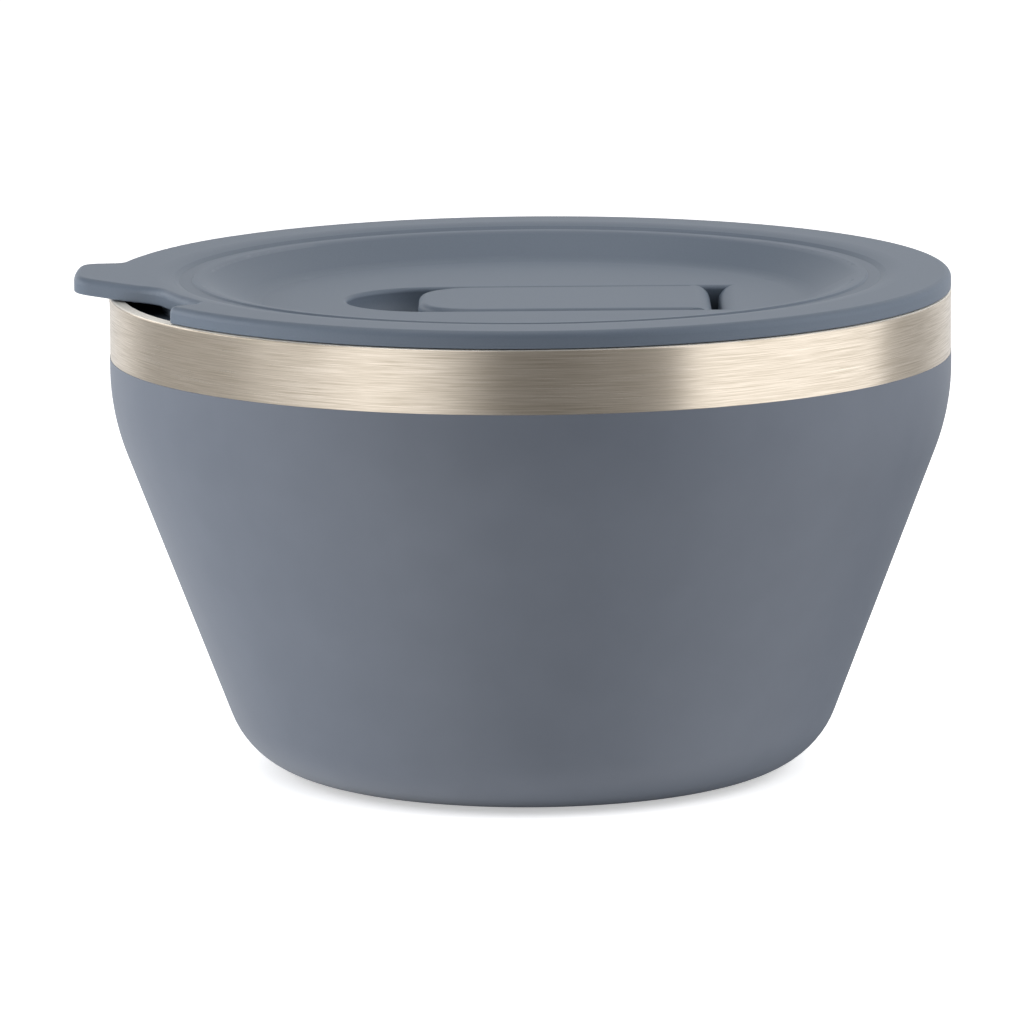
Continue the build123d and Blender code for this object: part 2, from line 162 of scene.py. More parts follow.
@dataclass(frozen=True)
class PowderCoat(Finish):
    """Epoxy-polyester powder, sprayed and baked: matte, even, with a soft fine orange peel."""

    colour: str = "#69707C"
    mottle: str = "#626975"
    mottle_mm: float = 9.0
    mottle_detail: float = 3.0
    roughness: float = 0.52
    ior: float = 1.5
    peel_mm: float = 0.45
    peel_detail: float = 2.0
    peel_strength: float = 0.06
    peel_depth_mm: float = 0.05

    def shade(self, tree: bpy.types.NodeTree, surface: bpy.types.Node) -> None:
        """Mix two close greys in broad clouds, and raise a fine peel.

        Args:
            tree: The material's node tree.
            surface: Its surface shader.
        """
        place = add_node(tree, "ShaderNodeTexCoord", {}).outputs["Object"]
        clouds = add_node(
            tree,
            "ShaderNodeTexNoise",
            {"Vector": place, "Scale": per_mm(self.mottle_mm), "Detail": self.mottle_detail},
        )
        tint = add_node(
            tree,
            "ShaderNodeMix",
            {
                "Factor": clouds.outputs["Fac"],
                "A": linear_colour(self.colour),
                "B": linear_colour(self.mottle),
            },
            data_type="RGBA",
        )
        peel = add_node(
            tree,
            "ShaderNodeTexNoise",
            {"Vector": place, "Scale": per_mm(self.peel_mm), "Detail": self.peel_detail},
        )
        bump = add_node(
            tree,
            "ShaderNodeBump",
            {
                "Height": peel.outputs["Fac"],
                "Strength": self.peel_strength,
                "Distance": self.peel_depth_mm * MM,
            },
        )
        tree.links.new(tint.outputs["Result"], surface.inputs["Base Color"])
        tree.links.new(bump.outputs["Normal"], surface.inputs["Normal"])
        surface.inputs["Roughness"].default_value = self.roughness
        surface.inputs["IOR"].default_value = self.ior


@dataclass(frozen=True)
class BrushedSteel(Finish):
    """18/8 stainless sheet, linished on a lathe: long fine streaks that run round the bowl."""

    colour: str = "#E2D7C9"
    streak_colour: str = "#BCB1A0"
    roughness: float = 0.33
    gloss_change: float = 0.06
    anisotropy: float = 0.85
    gloss_turn: float = 0.25
    streak_length_mm: float = 10.0
    # A real scratch is a few hundredths of a millimetre wide, so the streaks are drawn wider to show.
    streak_width_mm: float = 0.13
    streak_spread: float = 0.18
    streak_detail: float = 4.0
    streak_break: float = 0.6
    groove_strength: float = 0.12
    groove_depth_mm: float = 0.02

    def shade(self, tree: bpy.types.NodeTree, surface: bpy.types.Node) -> None:
        """Draw streaks round the axis and stretch the gloss across them.

        Args:
            tree: The material's node tree.
            surface: Its surface shader.
        """
        place = add_node(tree, "ShaderNodeTexCoord", {}).outputs["Object"]
        split = add_node(tree, "ShaderNodeSeparateXYZ", {"Vector": place})
        out = add_node(tree, "ShaderNodeVectorMath", {0: place, 1: LEVEL_ONLY}, operation="MULTIPLY")
        radius = add_node(tree, "ShaderNodeVectorMath", {0: out.outputs["Vector"]}, operation="LENGTH")
        across = add_node(
            tree,
            "ShaderNodeMath",
            {0: radius.outputs["Value"], 1: split.outputs["Z"]},
            operation="ADD",
        )
        streak_place = add_node(
            tree,
            "ShaderNodeCombineXYZ",
            {"X": split.outputs["X"], "Y": split.outputs["Y"], "Z": across.outputs["Value"]},
        )
        along = per_mm(self.streak_length_mm)
        stretched = add_node(
            tree,
            "ShaderNodeVectorMath",
            {0: streak_place.outputs["Vector"], 1: (along, along, per_mm(self.streak_width_mm))},
            operation="MULTIPLY",
        )
        streaks = add_node(
            tree,
            "ShaderNodeTexNoise",
            {
                "Vector": stretched.outputs["Vector"],
                "Scale": 1.0,
                "Detail": self.streak_detail,
                "Roughness": self.streak_break,
            },
        )
        low = NOISE_MIDDLE - self.streak_spread
        high = NOISE_MIDDLE + self.streak_spread
        contrast = add_node(
            tree,
            "ShaderNodeMapRange",
            {"Value": streaks.outputs["Fac"], "From Min": low, "From Max": high},
        )
        tint = add_node(
            tree,
            "ShaderNodeMix",
            {
                "Factor": contrast.outputs["Result"],
                "A": linear_colour(self.streak_colour),
                "B": linear_colour(self.colour),
            },
            data_type="RGBA",
        )
        gloss = add_node(
            tree,
            "ShaderNodeMapRange",
            {
                "Value": streaks.outputs["Fac"],
                "From Min": low,
                "From Max": high,
                "To Min": self.roughness + self.gloss_change,
                "To Max": self.roughness - self.gloss_change,
            },
        )
        bump = add_node(
            tree,
            "ShaderNodeBump",
            {
                "Height": streaks.outputs["Fac"],
                "Strength": self.groove_strength,
                "Distance": self.groove_depth_mm * MM,
            },
        )
        round_axis = add_node(tree, "ShaderNodeTangent", {}, direction_type="RADIAL", axis="Z")
        tree.links.new(tint.outputs["Result"], surface.inputs["Base Color"])
        tree.links.new(gloss.outputs["Result"], surface.inputs["Roughness"])
        tree.links.new(bump.outputs["Normal"], surface.inputs["Normal"])
        tree.links.new(round_axis.outputs["Tangent"], surface.inputs["Tangent"])
        surface.inputs["Metallic"].default_value = 1.0
        surface.inputs["Anisotropic"].default_value = self.anisotropy
        surface.inputs["Anisotropic Rotation"].default_value = self.gloss_turn


@dataclass(frozen=True)
class MouldedPlastic(Finish):
    """Polypropylene from a spark-eroded mould: satin, with a fine even grain."""

    colour: str = "#636E7C"
    grain_colour: str = "#5B6674"
    roughness: float = 0.5
    ior: float = 1.49
    grain_mm: float = 0.35
    grain_detail: float = 3.0
    grain_break: float = 0.6
    grain_strength: float = 0.1
    grain_depth_mm: float = 0.04

    def shade(self, tree: bpy.types.NodeTree, surface: bpy.types.Node) -> None:
        """Speckle two close greys at the grain's size and raise the grain.

        Args:
            tree: The material's node tree.
            surface: Its surface shader.
        """
        place = add_node(tree, "ShaderNodeTexCoord", {}).outputs["Object"]
        grain = add_node(
            tree,
            "ShaderNodeTexNoise",
            {
                "Vector": place,
                "Scale": per_mm(self.grain_mm),
                "Detail": self.grain_detail,
                "Roughness": self.grain_break,
            },
        )
        tint = add_node(
            tree,
            "ShaderNodeMix",
            {
                "Factor": grain.outputs["Fac"],
                "A": linear_colour(self.grain_colour),
                "B": linear_colour(self.colour),
            },
            data_type="RGBA",
        )
        bump = add_node(
            tree,
            "ShaderNodeBump",
            {
                "Height": grain.outputs["Fac"],
                "Strength": self.grain_strength,
                "Distance": self.grain_depth_mm * MM,
            },
        )
        tree.links.new(tint.outputs["Result"], surface.inputs["Base Color"])
        tree.links.new(bump.outputs["Normal"], surface.inputs["Normal"])
        surface.inputs["Roughness"].default_value = self.roughness
        surface.inputs["IOR"].default_value = self.ior


@dataclass(frozen=True)
class GroundSteel(Finish):
    """The same stainless, ground flat on the lip: fine scratches in all directions scatter the light."""

    colour: str = "#F4F1EB"
    scratch_colour: str = "#E0DACE"
    roughness: float = 0.42
    metal: float = 0.4
    # Drawn wider than real scratches, as the streaks on the linished steel are.
    scratch_mm: float = 0.25
    scratch_detail: float = 4.0

    def shade(self, tree: bpy.types.NodeTree, surface: bpy.types.Node) -> None:
        """Speckle two close steels at the scratches' size, and let part of the light scatter.

        Args:
            tree: The material's node tree.
            surface: Its surface shader.
        """
        place = add_node(tree, "ShaderNodeTexCoord", {}).outputs["Object"]
        scratches = add_node(
            tree,
            "ShaderNodeTexNoise",
            {"Vector": place, "Scale": per_mm(self.scratch_mm), "Detail": self.scratch_detail},
        )
        tint = add_node(
            tree,
            "ShaderNodeMix",
            {
                "Factor": scratches.outputs["Fac"],
                "A": linear_colour(self.scratch_colour),
                "B": linear_colour(self.colour),
            },
            data_type="RGBA",
        )
        tree.links.new(tint.outputs["Result"], surface.inputs["Base Color"])
        surface.inputs["Roughness"].default_value = self.roughness
        surface.inputs["Metallic"].default_value = self.metal


@dataclass(frozen=True)
class Silicone(Finish):
    """Platinum-cured food silicone: soft satin, a little light goes in, with a dusty bloom."""

    colour: str = "#878D95"
    bloom: str = "#959BA2"
    bloom_mm: float = 2.5
    bloom_detail: float = 4.0
    roughness: float = 0.62
    ior: float = 1.41
    light_share: float = 0.25
    depth_mm: float = 0.6
    depth_by_colour: tuple[float, float, float] = (1.0, 1.0, 1.0)

    def shade(self, tree: bpy.types.NodeTree, surface: bpy.types.Node) -> None:
        """Cloud the bloom over the grey and let light in to a fraction of a millimetre.

        Args:
            tree: The material's node tree.
            surface: Its surface shader.
        """
        place = add_node(tree, "ShaderNodeTexCoord", {}).outputs["Object"]
        clouds = add_node(
            tree,
            "ShaderNodeTexNoise",
            {"Vector": place, "Scale": per_mm(self.bloom_mm), "Detail": self.bloom_detail},
        )
        tint = add_node(
            tree,
            "ShaderNodeMix",
            {
                "Factor": clouds.outputs["Fac"],
                "A": linear_colour(self.colour),
                "B": linear_colour(self.bloom),
            },
            data_type="RGBA",
        )
        tree.links.new(tint.outputs["Result"], surface.inputs["Base Color"])
        surface.inputs["Roughness"].default_value = self.roughness
        surface.inputs["IOR"].default_value = self.ior
        surface.inputs["Subsurface Weight"].default_value = self.light_share
        surface.inputs["Subsurface Radius"].default_value = self.depth_by_colour
        surface.inputs["Subsurface Scale"].default_value = self.depth_mm * MM


@dataclass(frozen=True)
class CopperFoil(Finish):
    """Thin rolled copper, wrapped by hand: bright, with soft creases and faint tarnish."""

    colour: str = "#D98F6C"
    tarnish: str = "#B8704F"
    tarnish_mm: float = 18.0
    tarnish_detail: float = 4.0
    roughness: float = 0.22
    crease_mm: float = 6.0
    crease_strength: float = 0.25
    crease_depth_mm: float = 0.15

    def shade(self, tree: bpy.types.NodeTree, surface: bpy.types.Node) -> None:
        """Cloud the tarnish and crease the sheet.

        Args:
            tree: The material's node tree.
            surface: Its surface shader.
        """
        place = add_node(tree, "ShaderNodeTexCoord", {}).outputs["Object"]
        clouds = add_node(
            tree,
            "ShaderNodeTexNoise",
            {"Vector": place, "Scale": per_mm(self.tarnish_mm), "Detail": self.tarnish_detail},
        )
        tint = add_node(
            tree,
            "ShaderNodeMix",
            {
                "Factor": clouds.outputs["Fac"],
                "A": linear_colour(self.colour),
                "B": linear_colour(self.tarnish),
            },
            data_type="RGBA",
        )
        creases = add_node(
            tree, "ShaderNodeTexVoronoi", {"Vector": place, "Scale": per_mm(self.crease_mm)}
        )
        bump = add_node(
            tree,
            "ShaderNodeBump",
            {
                "Height": creases.outputs["Distance"],
                "Strength": self.crease_strength,
                "Distance": self.crease_depth_mm * MM,
            },
        )
        tree.links.new(tint.outputs["Result"], surface.inputs["Base Color"])
        tree.links.new(bump.outputs["Normal"], surface.inputs["Normal"])
        surface.inputs["Roughness"].default_value = self.roughness
        surface.inputs["Metallic"].default_value = 1.0


@dataclass(frozen=True)
class FusedGlass(Finish):
    """Solder glass, melted over the port: dark, glossy, with tiny flow marks."""

    colour: str = "#2A2622"
    streak: str = "#453B31"
    roughness: float = 0.16
    ior: float = 1.6
    flow_mm: float = 0.8
    flow_detail: float = 2.0
    flow_twist: float = 1.5
    flow_strength: float = 0.1
    flow_depth_mm: float = 0.05

    def shade(self, tree: bpy.types.NodeTree, surface: bpy.types.Node) -> None:
        """Swirl two dark browns and raise the flow marks a little.

        Args:
            tree: The material's node tree.
            surface: Its surface shader.
        """
        place = add_node(tree, "ShaderNodeTexCoord", {}).outputs["Object"]
        flow = add_node(
            tree,
            "ShaderNodeTexNoise",
            {
                "Vector": place,
                "Scale": per_mm(self.flow_mm),
                "Detail": self.flow_detail,
                "Distortion": self.flow_twist,
            },
        )
        tint = add_node(
            tree,
            "ShaderNodeMix",
            {
                "Factor": flow.outputs["Fac"],
                "A": linear_colour(self.colour),
                "B": linear_colour(self.streak),
            },
            data_type="RGBA",
        )
        bump = add_node(
            tree,
            "ShaderNodeBump",
            {
                "Height": flow.outputs["Fac"],
                "Strength": self.flow_strength,
                "Distance": self.flow_depth_mm * MM,
            },
        )
        tree.links.new(tint.outputs["Result"], surface.inputs["Base Color"])
        tree.links.new(bump.outputs["Normal"], surface.inputs["Normal"])
        surface.inputs["Roughness"].default_value = self.roughness
        surface.inputs["IOR"].default_value = self.ior


@dataclass(frozen=True)
class SinteredPowder(Finish):
    """Pressed and sintered getter metal: dark, dry and granular."""

    colour: str = "#4A4A4B"
    grain_colour: str = "#626263"
    roughness: float = 0.85
    metal: float = 0.4
    grain_mm: float = 0.2
    grain_detail: float = 3.0
    grain_strength: float = 0.5
    grain_depth_mm: float = 0.05

    def shade(self, tree: bpy.types.NodeTree, surface: bpy.types.Node) -> None:
        """Speckle two greys at the powder's size and raise the grains.

        Args:
            tree: The material's node tree.
            surface: Its surface shader.
        """
        place = add_node(tree, "ShaderNodeTexCoord", {}).outputs["Object"]
        grain = add_node(
            tree,
            "ShaderNodeTexNoise",
            {"Vector": place, "Scale": per_mm(self.grain_mm), "Detail": self.grain_detail},
        )
        tint = add_node(
            tree,
            "ShaderNodeMix",
            {
                "Factor": grain.outputs["Fac"],
                "A": linear_colour(self.colour),
                "B": linear_colour(self.grain_colour),
            },
            data_type="RGBA",
        )
        bump = add_node(
            tree,
            "ShaderNodeBump",
            {
                "Height": grain.outputs["Fac"],
                "Strength": self.grain_strength,
                "Distance": self.grain_depth_mm * MM,
            },
        )
        tree.links.new(tint.outputs["Result"], surface.inputs["Base Color"])
        tree.links.new(bump.outputs["Normal"], surface.inputs["Normal"])
        surface.inputs["Roughness"].default_value = self.roughness
        surface.inputs["Metallic"].default_value = self.metal


def select_nothing() -> None:
    """Leave object mode with nothing selected."""
    if bpy.context.object is not None and bpy.context.object.mode != "OBJECT":
        bpy.ops.object.mode_set(mode="OBJECT")
    bpy.ops.object.select_all(action="DESELECT")


def turned(name: str, section: Sequence[Point], capped: bool = False) -> bpy.types.Object:
    """Turn a section about Z, as on a lathe: a ring is drawn and extruded from point to point.

    Args:
        name: The new piece's name.
        section: Radius and height of each corner, in millimetres, in order round the section.
        capped: Whether the first and last rings are closed by a disc each. If not, they are joined.

    Returns:
        The piece, at the origin, with its place in its mesh.
    """
    select_nothing()
    start_radius, start_z = section[0]
    bpy.ops.mesh.primitive_circle_add(
        vertices=TURN_SEGMENTS, radius=start_radius * MM, location=(0.0, 0.0, 0.0), enter_editmode=True
    )
    bpy.ops.transform.translate(value=(0.0, 0.0, start_z * MM))
    radius, height = start_radius, start_z
    path = section[1:] if capped else [*section[1:], section[0]]
    for next_radius, next_z in path:
        bpy.ops.mesh.extrude_edges_move(
            TRANSFORM_OT_translate={"value": (0.0, 0.0, (next_z - height) * MM)}
        )
        factor = next_radius / radius
        bpy.ops.transform.resize(value=(factor, factor, 1.0), center_override=(0.0, 0.0, next_z * MM))
        radius, height = next_radius, next_z
    bpy.ops.mesh.select_all(action="SELECT")
    bpy.ops.mesh.remove_doubles(threshold=WELD_DISTANCE)
    if capped:
        bpy.ops.mesh.fill_holes(sides=0)
    bpy.ops.mesh.normals_make_consistent(inside=False)
    bpy.ops.object.mode_set(mode="OBJECT")
    piece = bpy.context.object
    piece.name = name
    piece.data.name = name
    bpy.ops.object.shade_smooth_by_angle(angle=SMOOTH_ANGLE)
    return piece


def arc(centre: Point, radius: float, start: float, end: float, steps: int) -> list[Point]:
    """Points along an arc of a section.

    Args:
        centre: The arc's centre, radius and height in millimetres.
        radius: The arc's radius.
        start: First angle in degrees, from straight outwards, counter-clockwise.
        end: Last angle in degrees.
        steps: How many chords make the arc.

    Returns:
        The points, both ends among them.
    """
    angles = [math.radians(start + (end - start) * i / steps) for i in range(steps + 1)]
    return [(centre[0] + radius * math.cos(a), centre[1] + radius * math.sin(a)) for a in angles]


@dataclass
class DrawnWall:
    """One face of a drawn wall in section: collar, shoulder bend, straight flank, foot bend and floor."""

    collar_radius: float
    collar_z: float
    shoulder_radius: float
    foot_radius: float
    floor_z: float
    flank_angle: float
    bend_steps: int = 14

    def inset(self, distance: float) -> "DrawnWall":
        """The same wall's face, moved inwards.

        Args:
            distance: How far it moves, in millimetres. Below nought it moves outwards.

        Returns:
            The moved face.
        """
        return DrawnWall(
            self.collar_radius - distance,
            self.collar_z,
            self.shoulder_radius - distance,
            self.foot_radius - distance,
            self.floor_z + distance,
            self.flank_angle,
        )

    def points(self, top_z: float) -> list[Point]:
        """Section points from a height on the collar down to where the floor starts.

        Args:
            top_z: Height of the first point.

        Returns:
            Radius and height of each point.
        """
        slope = math.radians(self.flank_angle)
        shoulder_centre = (self.collar_radius - self.shoulder_radius, self.collar_z)
        shoulder = arc(shoulder_centre, self.shoulder_radius, 0.0, -self.flank_angle, self.bend_steps)
        foot_centre_z = self.floor_z + self.foot_radius
        foot_top_z = foot_centre_z - self.foot_radius * math.sin(slope)
        flank_end = shoulder[-1]
        foot_top_radius = flank_end[0] - (flank_end[1] - foot_top_z) * math.tan(slope)
        foot_centre = (foot_top_radius - self.foot_radius * math.cos(slope), foot_centre_z)
        foot = arc(foot_centre, self.foot_radius, -self.flank_angle, -90.0, self.bend_steps)
        return [(self.collar_radius, top_z), *shoulder, *foot]


@dataclass
class Bowl:
    """The double-wall bowl: steel shell, powder coat, food liner and the pieces shut in between."""

    rim_radius: float = 75.0
    height: float = 86.0
    collar_height: float = 13.3
    shoulder_radius: float = 42.0
    flank_angle: float = 20.8
    base_fillet: float = 16.0
    shell_wall: float = 0.6
    coat: float = 0.08
    coat_bite: float = 0.02
    paint_drop: float = 11.14
    foot_width: float = 3.3
    liner_wall: float = 0.5
    lip_width: float = 2.5
    lip_height: float = 1.0
    lip_round: float = 0.5
    ground_angle: float = 40.0
    liner_collar_z: float = 75.37
    liner_shoulder_radius: float = 30.0
    liner_base_fillet: float = 18.0
    inside_floor: float = 10.0
    lip_steps: int = 8
    cap_radius: float = 3.0
    steel: BrushedSteel = field(default_factory=lambda: BrushedSteel("linished_stainless", Slot.STEEL))
    ground: GroundSteel = field(default_factory=lambda: GroundSteel("ground_stainless", Slot.STEEL))
    paint: PowderCoat = field(default_factory=lambda: PowderCoat("baked_powder_coat", Slot.POWDER_COAT))
    foil: CopperFoil = field(default_factory=lambda: CopperFoil("copper_foil", Slot.COPPER))
    glass: FusedGlass = field(default_factory=lambda: FusedGlass("solder_glass", Slot.SOLDER_GLASS))
    powder: SinteredPowder = field(default_factory=lambda: SinteredPowder("getter_metal", Slot.GETTER))

    def shell_face(self) -> DrawnWall:
        """The shell's outer face, with its coat on."""
        return DrawnWall(
            self.rim_radius,
            self.height - self.collar_height,
            self.shoulder_radius,
            self.base_fillet,
            0.0,
            self.flank_angle,
        )

    def seam_z(self) -> float:
        """Height of the seam between the shell and the liner's lip."""
        return self.height - self.lip_height

    def build(self) -> list[bpy.types.Object]:
        """Make and dress the bowl's pieces.

        Returns:
            The new pieces.
        """
        made = [self.shell(), self.skin(), self.liner(), self.lip_side(), self.lip_top()]
        for piece in made:
            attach(piece, Body.BOWL.value)
        self.paint.dress(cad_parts["base_cover"])
        self.foil.dress(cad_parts["copper_foil"])
        self.glass.dress(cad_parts["seal_bead"])
        self.powder.dress(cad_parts["getter_pellet"])
        for node in ("vacuum_bottom", "getter_clip"):
            self.steel.dress(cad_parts[node])
        return made

    def foot_opening(self) -> float:
        """Radius of the opening inside the foot ring."""
        return self.shell_face().points(self.seam_z())[-1][0] - self.foot_width

    def shell(self) -> bpy.types.Object:
        """Turn the drawn steel shell, thinner by its coat.

        Returns:
            The shell.
        """
        face = self.shell_face()
        opening = self.foot_opening()
        outside = face.inset(self.coat).points(self.seam_z())
        inside = face.inset(self.shell_wall).points(self.seam_z())
        shell = turned(
            "bowl_shell",
            [*outside, (opening, self.coat), (opening, self.shell_wall), *reversed(inside)],
        )
        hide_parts("outer_shell")
        self.steel.dress(shell)
        return shell

    def skin(self) -> bpy.types.Object:
        """Turn the coat, which ends in a soft bead under the bare band.

        Returns:
            The coat.
        """
        face = self.shell_face()
        opening = self.foot_opening()
        paint_z = self.height - self.paint_drop
        bead = self.coat / 2
        bite = self.coat + self.coat_bite
        skin = turned(
            "bowl_coat",
            [
                *face.points(paint_z - bead),
                (opening, 0.0),
                (opening, bite),
                *reversed(face.inset(bite).points(paint_z)),
                (self.rim_radius - bead, paint_z),
            ],
        )
        self.paint.dress(skin)
        return skin

    def liner(self) -> bpy.types.Object:
        """Turn the food liner up to the seam under its lip.

        Returns:
            The liner.
        """
        inner = DrawnWall(
            self.rim_radius - self.lip_width,
            self.liner_collar_z,
            self.liner_shoulder_radius - self.liner_wall,
            self.liner_base_fillet - self.liner_wall,
            self.inside_floor,
            self.flank_angle,
        )
        outer = inner.inset(-self.liner_wall)
        liner = turned(
            "bowl_liner",
            [
                (self.cap_radius, self.inside_floor),
                *reversed(inner.points(self.seam_z())),
                *outer.points(self.seam_z()),
                (self.cap_radius, self.inside_floor - self.liner_wall),
            ],
            capped=True,
        )
        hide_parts("inner_liner")
        self.steel.dress(liner)
        return liner

    def lip_arc(self, outside: bool, start: float, end: float) -> list[Point]:
        """Part of one of the lip's rounded corners.

        Args:
            outside: Whether it is the corner on the shell's side, or the one on the mouth's side.
            start: First angle in degrees above level, seen from the corner's centre.
            end: Last angle in degrees above level.

        Returns:
            Radius and height of each point.
        """
        round_z = self.height - self.lip_round
        if outside:
            centre = (self.rim_radius - self.lip_round, round_z)
            return arc(centre, self.lip_round, start, end, self.lip_steps)
        centre = (self.rim_radius - self.lip_width + self.lip_round, round_z)
        return arc(centre, self.lip_round, 180.0 - start, 180.0 - end, self.lip_steps)

    def lip_side(self) -> bpy.types.Object:
        """Turn the lower part of the lip, linished like the band under it.

        Returns:
            The lip's side.
        """
        side = turned(
            "bowl_lip_side",
            [
                (self.rim_radius - self.lip_width, self.seam_z()),
                *self.lip_arc(False, 0.0, self.ground_angle),
                *self.lip_arc(True, self.ground_angle, 0.0),
                (self.rim_radius, self.seam_z()),
            ],
        )
        self.steel.dress(side)
        return side

    def lip_top(self) -> bpy.types.Object:
        """Turn the ground top of the lip that joins the liner and the shell.

        Returns:
            The lip's top.
        """
        top = turned(
            "bowl_lip_top",
            [
                *self.lip_arc(False, self.ground_angle, 90.0),
                *self.lip_arc(True, 90.0, self.ground_angle),
            ],
        )
        self.ground.dress(top)
        return top


@dataclass
class Lid:
    """The moulded lid with its flap, pin, gasket and stopper."""

    plastic: MouldedPlastic = field(
        default_factory=lambda: MouldedPlastic("moulded_polypropylene", Slot.LID_PLASTIC)
    )
    steel: BrushedSteel = field(default_factory=lambda: BrushedSteel("linished_stainless", Slot.STEEL))
    rubber: Silicone = field(default_factory=lambda: Silicone("food_silicone", Slot.SILICONE))

    def build(self) -> None:
        """Dress the lid's pieces."""
        for node in ("lid_body", "vent_flap"):
            self.plastic.dress(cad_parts[node])
        for node in ("lid_gasket", "vent_plug"):
            self.rubber.dress(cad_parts[node])
        self.steel.dress(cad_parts["flap_pin"])


@dataclass
class PhotoCamera:
    """A long lens, a little above the rim. Distances in metres, angles in radians."""

    place: tuple[float, float, float] = (0.0, -1.41228, 0.28599)
    yaw: float = -0.0025146
    pitch: float = 0.1686584
    roll: float = -0.0082495
    lens_mm: float = 281.25
    sensor_mm: float = 36.0

    def build(self) -> bpy.types.Object:
        """Make the camera and set it as the scene's.

        Returns:
            The camera object.
        """
        data = bpy.data.cameras.new("photo_camera")
        data.lens = self.lens_mm
        data.sensor_width = self.sensor_mm
        camera = bpy.data.objects.new("photo_camera", data)
        bpy.context.scene.collection.objects.link(camera)
        ahead = Vector(
            (
                math.sin(self.yaw) * math.cos(self.pitch),
                math.cos(self.yaw) * math.cos(self.pitch),
                -math.sin(self.pitch),
            )
        )
        level = Vector((math.cos(self.yaw), -math.sin(self.yaw), 0.0))
        upright = level.cross(ahead)
        right = math.cos(self.roll) * level + math.sin(self.roll) * upright
        up = -math.sin(self.roll) * level + math.cos(self.roll) * upright
        turn = Matrix((right, up, -ahead)).transposed().to_4x4()
        camera.matrix_world = Matrix.Translation(Vector(self.place)) @ turn
        bpy.context.scene.camera = camera
        return camera


@dataclass(frozen=True)
class Reflector:
    """A box or card that stands round the bowl and shows in its bare and glossy parts.

    Angles are in degrees: bearings from straight towards the camera and to the right, heights from
    level and upwards.
    """

    bearing: float
    half_width: float
    soft_edge: float
    level: float
    middle_height: float = 0.0
    half_height: float = 180.0


@dataclass(frozen=True)
class SoftBox:
    """A rectangular lamp that faces the bowl. Place and size are in metres, power in watts."""

    name: str
    place: tuple[float, float, float]
    size: tuple[float, float]
    power: float


